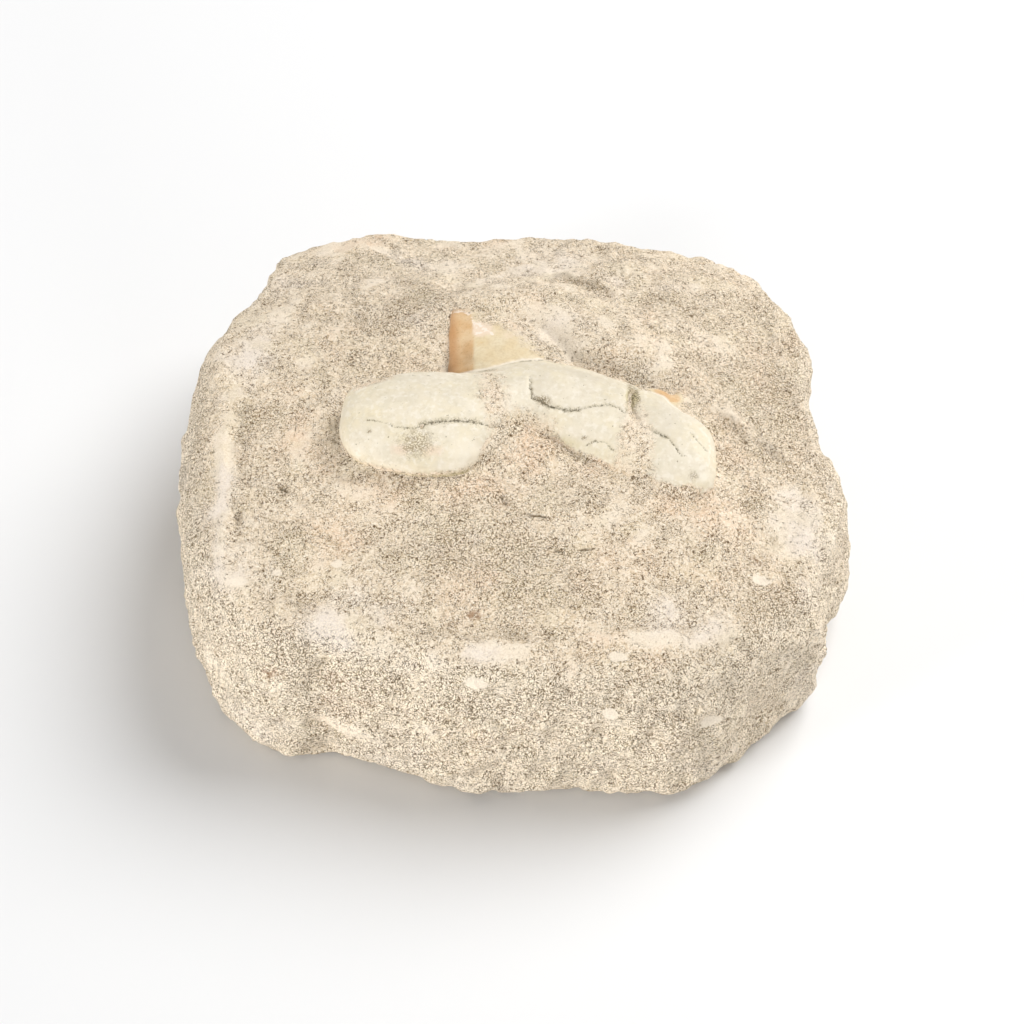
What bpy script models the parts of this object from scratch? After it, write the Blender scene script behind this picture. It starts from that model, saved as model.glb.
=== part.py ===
"""A fossil shark tooth lying in its block of sandy rock.

Run it with: blender --background --python part.py

There are two pieces, each one object:

  matrix_block  the loaf-shaped block of sandstone, resting on a flat underside, with a pocket
                that follows the buried part of the tooth
  shark_tooth   the tooth: a thick root with two lobes, and a blade that leans to one side and
                dips into the rock

The frame is +Z up, +X right and +Y away from the front, with the origin under the middle of the
block. Sizes below are in millimetres, and become metres where a mesh is made.
"""

import math
from collections import namedtuple

import bmesh
import bpy
from mathutils import Matrix, Vector, noise

MM = 0.001

# ---------------------------------------------------------------- the block, in millimetres

# One corner of the block's outline seen from above: its bearing from +X in degrees, how far out
# its widest line reaches, how high that line runs, and how far in the top edge stands.
Corner = namedtuple("Corner", "bearing reach waist inset")
OUTLINE = [
    Corner(0, 39.3, 9.0, 7.0),
    Corner(8, 36.8, 12.0, 4.5),
    Corner(18, 37.1, 13.0, 3.0),
    Corner(27, 40.8, 13.5, 3.0),
    Corner(33, 42.0, 13.5, 3.0),
    Corner(41, 42.6, 13.5, 3.4),
    Corner(52, 43.2, 13.5, 3.2),
    Corner(64, 39.3, 13.5, 3.0),
    Corner(79, 37.9, 13.5, 3.0),
    Corner(92, 37.9, 13.5, 3.0),
    Corner(99, 37.2, 13.5, 3.0),
    Corner(106, 40.2, 13.5, 3.0),
    Corner(114, 42.8, 13.0, 3.0),
    Corner(121, 43.4, 12.5, 3.0),
    Corner(129, 46.0, 12.0, 3.2),
    Corner(136, 42.5, 11.5, 3.5),
    Corner(142, 41.0, 11.5, 3.8),
    Corner(148, 41.4, 12.0, 4.0),
    Corner(158, 40.3, 12.0, 5.0),
    Corner(168, 39.4, 11.0, 5.5),
    Corner(180, 39.4, 9.5, 5.6),
    Corner(191, 40.0, 8.0, 5.4),
    Corner(200, 40.6, 7.0, 5.6),
    Corner(206, 40.9, 6.0, 6.0),
    Corner(213, 41.6, 5.0, 6.5),
    Corner(221, 41.4, 3.5, 7.0),
    Corner(228, 39.8, 3.2, 6.4),
    Corner(234, 36.0, 3.2, 5.8),
    Corner(242, 34.6, 3.2, 5.6),
    Corner(251, 34.0, 3.0, 5.0),
    Corner(261, 34.7, 2.6, 4.4),
    Corner(270, 34.2, 2.6, 4.0),
    Corner(285, 35.5, 3.0, 5.0),
    Corner(299, 39.8, 3.4, 6.0),
    Corner(306, 39.9, 4.0, 6.8),
    Corner(319, 40.5, 4.6, 6.5),
    Corner(329, 41.4, 5.4, 6.0),
    Corner(338, 39.6, 6.5, 5.6),
    Corner(349, 40.4, 7.5, 6.5),
]
UNDERCUT = 2.6  # how far in the flat underside's edge stands from the widest line
WALL_POWER = 2.5  # 2 makes an elliptical shoulder, and more makes the wall straighter

CREST = 27.0  # the level ground round the tooth
# How the top falls away: the direction it falls in, how far out it starts, and its slope.
Fall = namedtuple("Fall", "bearing start slope")
FALLS = [Fall(270, 9, 0.21), Fall(90, 17, 0.34), Fall(180, 20, 0.20), Fall(0, 20, 0.36)]
FALL_SOFTNESS = 3.0

# A swelling or hollow of the top: its centre, its two half widths, how far its first width is
# turned from +X in degrees, and its height.
Landform = namedtuple("Landform", "x y wide deep turn rise")
LANDFORMS = [
    Landform(10, 11, 9, 6, -20, 2.3),  # the ground that hides the right of the blade
    Landform(-0.5, 18.4, 10, 5, 0, 2.9),  # and its tip
    Landform(-12, 10.5, 4.5, 4.5, 0, -0.5),  # the lower ground at the blade's left edge
    Landform(1, -4.5, 4.5, 3, 0, 1.5),  # the rise between the two lobes
    Landform(8, -14, 6, 2.6, 10, 0.9),  # a crust in front of the root
    Landform(27, 3, 8, 1.6, -35, 1.0),  # a ridge beside the right lobe
    Landform(9, 28, 9, 2.2, -10, 0.9),  # a ridge near the back
    Landform(14, 25, 3.5, 2.5, 0, -0.9),  # the hollow behind that ridge
    Landform(-33, -4, 2.2, 14, 0, 0.9),  # the raised left rim
    Landform(-25, -27, 7, 3, -20, -1.2),  # the sunken front left corner
    Landform(30, -14, 5, 6, 0, -0.8),  # the hollow at the right
]

# Swells of the whole surface: wavelength and height.
SWELLS = [(17.0, 0.85), (8.0, 0.55)]
CALM_BELOW = 4.0  # they fade out from here down to the flat underside

AROUND = 80  # points in a ring
UNDER_RINGS, WALL_RINGS, TOP_RINGS = 3, 6, 13

# ---------------------------------------------------------------- the tooth, in millimetres

# In the tooth's own frame +X runs along the root, +Y to the tip and +Z to the side that shows.
# One slice across the root: where it is along the root, how far towards the tip its middle
# lies, and half its length that way and half its thickness.
RootSlice = namedtuple("RootSlice", "x y half_length half_thickness")
ROOT = [
    RootSlice(-21.3, -2.9, 1.9, 1.6),
    RootSlice(-20.3, -2.9, 4.3, 3.2),
    RootSlice(-17.5, -3.0, 6.1, 4.3),
    RootSlice(-12.0, -2.8, 7.1, 5.0),
    RootSlice(-6.0, -1.8, 7.0, 5.2),
    RootSlice(0.0, 1.9, 6.1, 5.4),
    RootSlice(6.0, 1.0, 6.8, 5.3),
    RootSlice(12.0, -0.9, 7.4, 5.1),
    RootSlice(17.5, -2.75, 7.15, 4.7),
    RootSlice(20.6, -3.9, 5.1, 3.7),
    RootSlice(21.9, -4.8, 2.8, 1.8),
]
# How full a slice is on its side towards the tip, where it is blunt, and on its far side, where
# the tooth's base slopes away. 2 is an ellipse, and less is nearer to a straight slope.
TIP_SIDE_POWER, BASE_SIDE_POWER = 2.6, 1.75
ROOT_SLICES, ROOT_POINTS = 34, 22

# One slice across the blade: its distance towards the tip, its two edges, how far its faces
# swell on the side that shows and on the buried side, how high its blunt left edge stands, and
# how far the blade has bent down there.
BladeSlice = namedtuple("BladeSlice", "y left right front back wall bend")
BLADE = [
    BladeSlice(0.0, -12.6, 15.5, 2.8, 3.0, 2.6, 0.0),
    BladeSlice(4.0, -10.3, 14.6, 2.8, 2.7, 2.6, 0.0),
    BladeSlice(8.0, -9.9, 12.4, 2.7, 2.3, 2.6, 0.0),
    BladeSlice(12.0, -10.3, 9.4, 2.4, 1.9, 2.6, 0.0),
    BladeSlice(16.0, -10.7, 5.4, 2.0, 1.5, 2.5, 0.1),
    BladeSlice(20.0, -11.2, 0.4, 1.4, 1.1, 1.6, 0.8),
    BladeSlice(23.0, -11.2, -5.0, 0.8, 0.6, 0.8, 1.8),
    BladeSlice(24.5, -10.8, -8.8, 0.3, 0.2, 0.3, 2.6),
]
BLADE_SLICES, BLADE_POINTS = 18, 20

# A low cusp at each end of the blade's foot: x of its middle, half its width, its height, and
# how far it stands above the tooth's own plane.
Cusp = namedtuple("Cusp", "x half_width height lift")
CUSPS = [Cusp(-16.5, 3.4, 5.6, -0.8), Cusp(17.2, 2.5, 6.3, 2.6)]
CUSP_THICKNESS = 1.7
CUSP_SLICES, CUSP_POINTS = 6, 12

# A crack across the root: the points it passes in the tooth's plane, and half its width.
Crack = namedtuple("Crack", "name points half_width")
LEFT_CRACK = [(-19, -6.2), (-16.5, -7.1), (-12, -6.6), (-9.7, -6.3), (-7, -6.0), (-3.8, -5.4)]
CRACKS = [
    Crack("left_crack", LEFT_CRACK, 0.28),
    Crack("middle_crack", [(-0.4, 1.6), (0.1, -0.9), (3.6, -1.9), (7, -1.9), (10.6, -2.2)], 0.28),
    Crack("right_crack", [(14.1, -3.1), (15.9, -4.4), (17.5, -6.2)], 0.28),
    Crack("root_gap", [(12.0, 2.2), (11.5, -0.4), (11.7, -2.0), (12.4, -3.6)], 0.55),
]

SEAT = (2.0, 0.6, 25.6)  # where the tooth's own origin lies in the block
YAW, DIP, ROLL = -5.0, -6.0, 5.0  # how it is turned, in degrees
POCKET_GAP = 0.35

FINE_WELD = 0.01  # for a curve's caps
COARSE_WELD = 0.05  # for the slivers that a cut leaves in the rock

# ---------------------------------------------------------------- colours

STONE_COLOUR = (0.73, 0.62, 0.46, 1.0)
TOOTH_COLOUR = (0.87, 0.77, 0.60, 1.0)


# ---------------------------------------------------------------- small tools


def clear_scene():
    for thing in list(bpy.data.objects):
        bpy.data.objects.remove(thing)


def new_collection(name):
    made = bpy.data.collections.new(name)
    bpy.context.scene.collection.children.link(made)
    return made


def material(name, colour, roughness):
    made = bpy.data.materials.new(name)
    made.use_nodes = True
    shader = made.node_tree.nodes["Principled BSDF"]
    shader.inputs["Base Color"].default_value = colour
    shader.inputs["Roughness"].default_value = roughness
    shader.inputs["Metallic"].default_value = 0.0
    return made


def smooth_step(low, high, value):
    t = min(1.0, max(0.0, (value - low) / (high - low)))
    return t * t * (3 - 2 * t)


def spline_row(rows, position):
    """The row at a fractional position in a list of number rows, on a Catmull-Rom spline."""
    last = len(rows) - 1
    index = min(int(position), last - 1)
    t = position - index
    before, start = rows[max(index - 1, 0)], rows[index]
    end, after = rows[index + 1], rows[min(index + 2, last)]
    return [
        0.5 * (2 * b + (c - a) * t + (2 * a - 5 * b + 4 * c - d) * t * t + (3 * b - a - 3 * c + d) * t**3)
        for a, b, c, d in zip(before, start, end, after)
    ]


def spread_rows(rows, count):
    """count rows spaced evenly along the spline through rows."""
    step = (len(rows) - 1) / (count - 1)
    return [spline_row(rows, i * step) for i in range(count)]


def loft(name, rings, collection):
    """One closed solid through rings of equal length, given in millimetres, with flat ends."""
    mesh = bmesh.new()
    made = [[mesh.verts.new(Vector(point) * MM) for point in ring] for ring in rings]
    for lower, upper in zip(made, made[1:]):
        for i in range(len(lower)):
            j = (i + 1) % len(lower)
            mesh.faces.new((lower[i], lower[j], upper[j], upper[i]))
    mesh.faces.new(list(reversed(made[0])))
    mesh.faces.new(made[-1])
    bmesh.ops.triangulate(mesh, faces=mesh.faces)
    bmesh.ops.recalc_face_normals(mesh, faces=mesh.faces)
    data = bpy.data.meshes.new(name)
    mesh.to_mesh(data)
    mesh.free()
    data.shade_smooth()
    solid = bpy.data.objects.new(name, data)
    collection.objects.link(solid)
    return solid


def as_cutter(thing):
    thing.hide_render = True
    thing.display_type = "WIRE"
    return thing


def boolean(target, operation, other, solver="EXACT"):
    cut = target.modifiers.new(f"{operation.lower()} {other.name}", "BOOLEAN")
    cut.operation = operation
    cut.solver = solver
    cut.object = other


def evaluated_copy(source, name, collection):
    """A new object that holds source's mesh with its modifiers applied."""
    bpy.context.view_layer.update()
    graph = bpy.context.evaluated_depsgraph_get()
    data = bpy.data.meshes.new_from_object(source.evaluated_get(graph))
    made = bpy.data.objects.new(name, data)
    made.matrix_world = source.matrix_world
    collection.objects.link(made)
    return made


def weld(thing, distance):
    """Joins points that nearly coincide, such as those of a curve's loose caps and its sides."""
    mesh = bmesh.new()
    mesh.from_mesh(thing.data)
    bmesh.ops.remove_doubles(mesh, verts=mesh.verts, dist=distance * MM)
    mesh.to_mesh(thing.data)
    mesh.free()


def body_round(start):
    """All the vertices that are joined to one by edges."""
    found, edge_of_search = {start}, [start]
    while edge_of_search:
        vertex = edge_of_search.pop()
        for edge in vertex.link_edges:
            other = edge.other_vert(vertex)
            if other not in found:
                found.add(other)
                edge_of_search.append(other)
    return found


def drop_crumbs(thing):
    """Keeps only the largest of a mesh's separate bodies."""
    mesh = bmesh.new()
    mesh.from_mesh(thing.data)
    bodies, left = [], set(mesh.verts)
    while left:
        bodies.append(body_round(next(iter(left))))
        left -= bodies[-1]
    largest = max(bodies, key=len)
    bmesh.ops.delete(mesh, geom=[v for v in mesh.verts if v not in largest], context="VERTS")
    mesh.to_mesh(thing.data)
    mesh.free()


# ---------------------------------------------------------------- the block


def outline_at(bearing):
    """The outline's reach, waist and inset at a bearing, between its two nearest corners."""
    corners = OUTLINE + [OUTLINE[0]._replace(bearing=360)]
    for a, b in zip(corners, corners[1:]):
        if a.bearing <= bearing <= b.bearing:
            t = (bearing - a.bearing) / (b.bearing - a.bearing)
            return [u + (v - u) * t for u, v in zip(a[1:], b[1:])]


def ground(x, y):
    """How high the block's top is at a place."""
    height = CREST
    for fall in FALLS:
        way = math.radians(fall.bearing)
        beyond = x * math.cos(way) + y * math.sin(way) - fall.start
        height -= fall.slope * FALL_SOFTNESS * math.log1p(math.exp(beyond / FALL_SOFTNESS))
    for form in LANDFORMS:
        turn = math.radians(form.turn)
        along = (x - form.x) * math.cos(turn) + (y - form.y) * math.sin(turn)
        across = (y - form.y) * math.cos(turn) - (x - form.x) * math.sin(turn)
        height += form.rise * math.exp(-((along / form.wide) ** 2) - (across / form.deep) ** 2)
    return height


def block_column(bearing):
    """The block's skin at one bearing, as points from the underside's edge up to the top's middle."""
    reach, waist, inset = outline_at(bearing)
    east, north = math.cos(math.radians(bearing)), math.sin(math.radians(bearing))
    column = []
    for ring in range(UNDER_RINGS):
        angle = math.pi / 2 * (1 - ring / UNDER_RINGS)
        out = reach - UNDERCUT * (1 - math.cos(angle))
        column.append((out * east, out * north, waist * (1 - math.sin(angle))))
    edge = reach - inset
    top = ground(edge * east, edge * north)
    for ring in range(WALL_RINGS):
        angle = math.pi / 2 * ring / WALL_RINGS
        out = reach - inset * (1 - math.cos(angle) ** (2 / WALL_POWER))
        rise = math.sin(angle) ** (2 / WALL_POWER)
        column.append((out * east, out * north, waist + (top - waist) * rise))
    for ring in range(TOP_RINGS):
        out = edge * (1 - ring / TOP_RINGS)
        column.append((out * east, out * north, ground(out * east, out * north)))
    return column


def swell(point):
    return sum(size * noise.noise(point / length) for length, size in SWELLS)


def make_block(collection):
    """The block before its pocket is cut."""
    columns = [block_column(360 * i / AROUND) for i in range(AROUND)]
    rings = [list(ring) for ring in zip(*columns)]
    block = loft("uncut block", rings, collection)
    for vertex in block.data.vertices:
        point = vertex.co / MM
        strength = smooth_step(0.0, CALM_BELOW, point.z)
        vertex.co += vertex.normal * swell(point) * strength * MM
    block.data.materials.append(material("sandy matrix", STONE_COLOUR, 0.95))
    return as_cutter(block)


# ---------------------------------------------------------------- the tooth


def round_to_power(angle, power):
    """A point on the unit superellipse."""
    c, s = math.cos(angle), math.sin(angle)
    return math.copysign(abs(c) ** (2 / power), c), math.copysign(abs(s) ** (2 / power), s)


def root_power(towards_tip):
    return TIP_SIDE_POWER if towards_tip > 0 else BASE_SIDE_POWER


def root_ring(x, y, half_length, half_thickness):
    ring = []
    for i in range(ROOT_POINTS):
        angle = 2 * math.pi * (i + 0.5) / ROOT_POINTS
        a, b = round_to_power(angle, root_power(math.cos(angle)))
        ring.append((x, y + a * half_length, b * half_thickness))
    return ring


def blade_ring(y, left, right, front, back, wall, bend):
    """A slice of the blade: two swelling faces, a sharp right edge and a blunt left one."""
    ring = []
    half = BLADE_POINTS // 2
    for i in range(half + 1):
        u = i / half
        ring.append((right + (left - right) * u, y, front * math.sin(math.pi * u) + wall * u - bend))
    for i in range(half):
        u = i / half
        ring.append((left + (right - left) * u, y, -back * math.sin(math.pi * u) - bend))
    return ring


def cusp_ring(cusp, share):
    """A slice of a low pointed cusp, share of the way up it."""
    width = cusp.half_width * (1 - share) ** 0.7
    thickness = CUSP_THICKNESS * (1 - share) ** 0.5
    ring = []
    for i in range(CUSP_POINTS):
        angle = 2 * math.pi * i / CUSP_POINTS
        x, z = cusp.x + width * math.cos(angle), cusp.lift + thickness * math.sin(angle)
        ring.append((x, cusp.height * share, z))
    return ring


def root_surface(x, y):
    """How high the root's showing side is over its own plane, at a place."""
    position = 0.0
    while position < len(ROOT) - 1 and spline_row(ROOT, position)[0] < x:
        position += 0.02
    _, middle, half_length, half_thickness = spline_row(ROOT, min(position, len(ROOT) - 1.001))
    share = min(1.0, abs(y - middle) / half_length)
    power = root_power(y - middle)
    return half_thickness * (1 - share**power) ** (1 / power)


def make_crack(crack, collection):
    """A bent round bar that lies in the root's skin, made from a curve, for cutting a crack."""
    data = bpy.data.curves.new(crack.name, "CURVE")
    data.dimensions = "3D"
    data.bevel_depth = crack.half_width * MM
    data.bevel_resolution = 0
    data.use_fill_caps = True
    line = data.splines.new("POLY")
    line.points.add(len(crack.points) - 1)
    for knot, (x, y) in zip(line.points, crack.points):
        knot.co = (x * MM, y * MM, root_surface(x, y) * MM, 1.0)
    bar = bpy.data.objects.new(crack.name + " line", data)
    collection.objects.link(bar)
    cutter = evaluated_copy(bar, crack.name, collection)
    weld(cutter, FINE_WELD)
    bpy.data.objects.remove(bar)
    return as_cutter(cutter)


def make_tooth(collection, cutters):
    rings = [root_ring(*row) for row in spread_rows(ROOT, ROOT_SLICES)]
    root = loft("root", rings, cutters)
    blade = loft("blade", [blade_ring(*row) for row in spread_rows(BLADE, BLADE_SLICES)], cutters)
    joined = [blade]
    for number, cusp in enumerate(CUSPS):
        shares = [0.98 * i / (CUSP_SLICES - 1) for i in range(CUSP_SLICES)]
        rings = [cusp_ring(cusp, share) for share in shares]
        joined.append(loft(f"cusp {number + 1}", rings, cutters))
    for piece in joined:
        boolean(root, "UNION", as_cutter(piece))
    whole = evaluated_copy(root, "whole tooth", cutters)
    bpy.data.objects.remove(root)
    for piece in joined:
        bpy.data.objects.remove(piece)
    tooth = bpy.data.objects.new("shark_tooth", whole.data.copy())
    collection.objects.link(tooth)
    for crack in CRACKS:
        cutter = make_crack(crack, cutters)
        cutter.parent = tooth
        boolean(tooth, "DIFFERENCE", cutter)
    tooth.data.materials.append(material("fossil tooth", TOOTH_COLOUR, 0.45))
    return tooth, as_cutter(whole)


def seat_tooth(tooth, whole):
    """Turns and moves the tooth to where it lies in the block."""
    turn = Matrix.Rotation(math.radians(YAW), 4, "Z")
    turn = turn @ Matrix.Rotation(math.radians(DIP), 4, "X")
    turn = turn @ Matrix.Rotation(math.radians(ROLL), 4, "Y")
    for thing in (tooth, whole):
        thing.matrix_world = Matrix.Translation(Vector(SEAT) * MM) @ turn


def cut_pocket(block, whole, collection):
    """The finished block: the uncut one less the tooth, with a gap all round the tooth."""
    grow = whole.modifiers.new("pocket gap", "DISPLACE")
    grow.strength = POCKET_GAP * MM
    grow.mid_level = 0.0
    boolean(block, "DIFFERENCE", whole, solver="MANIFOLD")
    finished = evaluated_copy(block, "matrix_block", collection)
    weld(finished, COARSE_WELD)
    drop_crumbs(finished)
    bpy.data.objects.remove(block)
    return finished


def centre_on_base(things):
    """Moves everything so that the origin is under the middle of the whole object."""
    bpy.context.view_layer.update()
    graph = bpy.context.evaluated_depsgraph_get()
    corners = []
    for thing in things:
        shape = thing.evaluated_get(graph)
        corners += [shape.matrix_world @ vertex.co for vertex in shape.data.vertices]
    low = Vector([min(c[i] for c in corners) for i in range(3)])
    high = Vector([max(c[i] for c in corners) for i in range(3)])
    middle = (low + high) / 2
    shift = Matrix.Translation((-middle.x, -middle.y, -low.z))
    for thing in bpy.data.objects:
        if thing.parent is None:
            thing.matrix_world = shift @ thing.matrix_world
    bpy.context.view_layer.update()


def main():
    clear_scene()
    fossil = new_collection("fossil shark tooth")
    cutters = new_collection("cutters")
    tooth, whole = make_tooth(fossil, cutters)
    seat_tooth(tooth, whole)
    block = cut_pocket(make_block(cutters), whole, fossil)
    centre_on_base([block, tooth])


main()
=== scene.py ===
"""The look of the fossil shark tooth: its sandy matrix, cracked root and amber enamel.

Blender 4.5. Lengths named here are in millimetres, and places are given in the frame's own axes:
+X right, +Y away from the front and +Z up.
"""

import math
from collections import namedtuple

import bmesh
import bpy
import numpy as np
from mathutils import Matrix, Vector, noise
from mathutils.bvhtree import BVHTree
from mathutils.kdtree import KDTree


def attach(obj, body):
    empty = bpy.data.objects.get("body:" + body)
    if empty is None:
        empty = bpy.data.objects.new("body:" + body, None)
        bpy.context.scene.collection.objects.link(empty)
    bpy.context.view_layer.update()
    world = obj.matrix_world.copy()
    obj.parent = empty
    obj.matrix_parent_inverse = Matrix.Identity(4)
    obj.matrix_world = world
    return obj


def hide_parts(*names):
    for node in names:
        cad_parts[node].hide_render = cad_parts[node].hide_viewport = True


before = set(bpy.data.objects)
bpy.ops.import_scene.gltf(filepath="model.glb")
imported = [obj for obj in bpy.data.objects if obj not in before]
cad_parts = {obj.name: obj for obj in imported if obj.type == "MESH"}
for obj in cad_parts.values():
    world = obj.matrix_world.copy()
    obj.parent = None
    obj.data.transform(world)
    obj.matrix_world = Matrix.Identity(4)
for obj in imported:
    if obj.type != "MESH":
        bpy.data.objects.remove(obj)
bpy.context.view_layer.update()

MM = 0.001

# ---------------------------------------------------------------- camera and light

CAMERA_ELEVATION = 50.0  # degrees above the horizontal
CAMERA_DISTANCE = 341.2
CAMERA_LENS, CAMERA_SENSOR = 100.0, 36.0
CAMERA_TARGET = (-0.27, -1.93, 10.4)

WORLD_STRENGTH = 0.39

# An area light: where it hangs and its width in metres, its power in watts, and its colour.
Lamp = namedtuple("Lamp", "name place width watts colour")
LAMPS = [
    Lamp("key", (0.42, 0.30, 0.62), 0.66, 7.1, (1.0, 1.0, 1.0)),
    Lamp("front fill", (0.30, -0.95, 0.15), 0.28, 3.0, (1.0, 1.0, 1.0)),
    Lamp("left fill", (-0.85, -0.50, 0.15), 0.28, 6.9, (1.0, 1.0, 1.0)),
]

# ---------------------------------------------------------------- fine meshes

CLOSING = 0.45  # the solid tooth's cracks are filled this far before fine ones are cut
CORE_VOXEL, CORE_SMOOTHING, CORE_LAST_SMOOTHING = 0.30, 2, 1
TOOTH_VOXEL, TOOTH_SMOOTHING = 0.21, 10
STONE_VOXEL, STONE_SMOOTHING = 0.40, 8
POCKET_FILL = 0.55  # how far the tooth is grown to fill the gap round it in the rock
SEARCH_REACH = 4.0  # rock farther than this from the tooth isn't measured against it
COVER_REACH = 0.75  # rock this near to the tooth is fitted to it
EASE_REACH = 2.2  # rock this near is drawn towards it, so that there is no trench between them
BARE_REACH = 3.0  # bare rock this near to the tooth sheds sand on it
CALM_REACH = 2.2  # the rock's roughness fades in from POCKET_FILL to this distance from the tooth
TUCK = 0.35  # how far the rock runs in under the tooth's skin
THIN_COVER = 0.18  # how thick the rock is where it thins out over the blade
FIELD_REACH = 3.0  # distances that are stored on a surface stop here
FLAT_BELOW = 0.02  # what is lower than this is the flat underside
FLAT_ANGLE = 0.01  # faces of the underside that differ by less than this, in radians, are joined
CALM_FLOOR = (0.0, 1.5)  # the rock's roughness fades in between these heights

# ---------------------------------------------------------------- the tooth's shape

EVERYWHERE = (-100.0, -99.0)  # a range that the whole object is beyond
# Where the tooth's outline is drawn out: along which axis (0 is X, 1 is Y), how far, and the
# ranges of x and y over which the move fades in.
Stretch = namedtuple("Stretch", "axis far x_range y_range")
ROOT_STRETCHES = [
    Stretch(0, -0.35, (-14.5, -18.5), EVERYWHERE),
    Stretch(1, -0.60, (-2.0, -6.0), (-4.0, -8.5)),
    Stretch(1, -1.00, (-11.0, -17.0), (-1.0, 3.0)),
]
BLADE_STRETCHES = [
    Stretch(1, 0.70, (-5.2, -7.0), (11.5, 14.0)),
    Stretch(0, -0.45, (-6.0, -7.2), (4.0, 7.0)),
]
# The ridge between the orange face at the left edge of the blade and its yellow front: its course
# as seen from above, and its height at some distances back.
BLADE_RIDGE = [(-4.8, 3.5), (-4.8, 7.2), (-4.8, 10.2), (-5.0, 12.5), (-5.1, 14.1), (-5.2, 18.0)]
RIDGE_HEIGHTS = ((3.5, 7.2, 10.2, 14.1, 18.0), (29.2, 28.6, 28.4, 27.9, 26.6))
# How steeply the orange face falls at two distances back, and between which distances it starts.
FACE_SLOPES = ((9.0, 14.5), (0.55, 0.30))
FACE_START = (2.6, 4.0)
# The tooth's own relief: its swells and roughness, the groove at the root's rim, and the hollow.
TOOTH_SWELL, TOOTH_ROUGHNESS = 0.10, 0.04
RIM_GROOVE, RIM_GROOVE_HALF_WIDTH = 0.18, 0.25
HOLLOW_DEPTH = 0.22
UPWARD = (0.0, 0.5)  # cracks fade in as the skin's normal comes to point up by this much

# ---------------------------------------------------------------- markings on the tooth

# A crack: the points it passes as seen from above, half its width, and its depth.
Crack = namedtuple("Crack", "points half_width depth")
CRACKS = [
    Crack([(-16.8, -5.4), (-14.7, -6.2), (-12.9, -6.7), (-11.4, -6.7), (-10.0, -6.3)], 0.07, 0.10),
    Crack([(-10.6, -6.5), (-10.0, -6.3), (-8.3, -5.9), (-6.3, -5.8), (-4.3, -5.8)], 0.21, 0.30),
    Crack([(-4.3, -5.8), (-2.7, -5.8), (-1.4, -5.4)], 0.09, 0.15),
    Crack([(1.7, 1.4), (1.9, -0.2), (2.1, -1.6), (3.0, -2.0)], 0.10, 0.18),
    Crack([(2.1, -1.5), (3.0, -1.9), (4.0, -2.3), (5.7, -2.9), (7.5, -2.8)], 0.15, 0.30),
    Crack([(7.5, -2.8), (9.1, -2.4), (11.1, -2.3), (12.8, -3.2)], 0.10, 0.20),
    Crack([(13.9, 1.6), (13.5, 0.2), (13.2, -1.6), (13.3, -2.8), (13.9, -4.2)], 0.27, 0.45),
    Crack([(15.6, -5.5), (16.5, -6.0), (17.3, -6.6)], 0.15, 0.28),
    Crack([(17.3, -6.6), (18.2, -7.5), (19.0, -8.8)], 0.09, 0.18),
    Crack([(20.0, -5.4), (20.9, -6.5), (21.9, -7.4)], 0.09, 0.10),
    Crack([(-4.3, -1.0), (-3.6, -2.5)], 0.07, 0.08),
    Crack([(-1.4, -0.9), (-0.4, -2.6)], 0.07, 0.08),
    Crack([(8.2, -6.7), (9.2, -6.5), (10.4, -6.9), (11.3, -7.6)], 0.07, 0.10),
]
CRACK_WANDER, CRACK_WANDER_LENGTH = 0.22, 1.1  # how far a crack strays, and how long its waves are
CRACK_UNEVENNESS = 0.45  # how much a crack's width varies
NO_CRACK = 9.0  # what stands for a place far from every crack
# How far an uneven line strays to either side, how long its waves are, and the noise's seed.
RIM_WANDER = (0.15, 1.5, 5)
SAND_EDGE_WANDER = (0.5, 2.5, 7)
RIDGE_WANDER = (0.6, 3.0, 51)

# Where the root ends and the enamel begins, from left to right as seen from above.
ROOT_RIM = [
    (-26.0, 6.5), (-12.0, 5.0), (-8.4, 4.2), (-7.2, 4.3), (-5.1, 4.1), (-3.1, 4.2), (-1.6, 4.8),
    (0.1, 5.4), (1.9, 5.8), (3.6, 5.9), (5.4, 5.7), (7.2, 5.3), (8.9, 4.8), (11.2, 4.0), (13.5, 3.0),
    (14.8, 1.9), (15.8, 1.5), (16.6, 1.2), (17.3, 0.7), (17.9, -0.2), (18.4, -1.0), (19.3, -1.8),
    (20.6, -2.3), (24.0, -3.0),
]
# Beyond this line the blade's front is under a film of sand.
SAND_EDGE = [
    (-26.0, 4.0), (-10.5, 4.2), (-9.6, 8.0), (-9.2, 16.4), (-5.0, 16.0), (-3.8, 14.2), (-2.3, 13.3),
    (0.3, 11.7), (2.7, 8.9), (4.5, 6.8), (6.3, 5.4), (8.6, 4.3), (11.2, 3.1), (13.5, 2.2),
    (15.2, 2.2), (16.2, 3.8), (18.0, 4.0), (19.4, 1.8), (19.6, 0.2), (20.2, -1.4), (23.0, -2.8),
]
BARE_CORNER = ((-8.0, 11.0), (-4.4, 15.3))  # the blade's broken corner, which no rock covers
FILM_EDGE = (-3.4, 0.7)  # the film thickens between these distances beyond SAND_EDGE
FILM_BY_ROCK, FILM_BY_ROCK_SHARE = (1.3, 0.1), 0.9  # and between these distances from bare rock
STEEP = (0.85, 0.45)  # the rock laps over skin of the tooth whose normal points up by less
FILM_PALENESS = 0.25  # how much smoother and paler sand is on the tooth than round it
FILM_PALE_FROM = (0.3, 1.6)  # it grows paler between these distances from bare rock
FILM_WARMTH = 0.25  # how much pinker it is there

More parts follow.
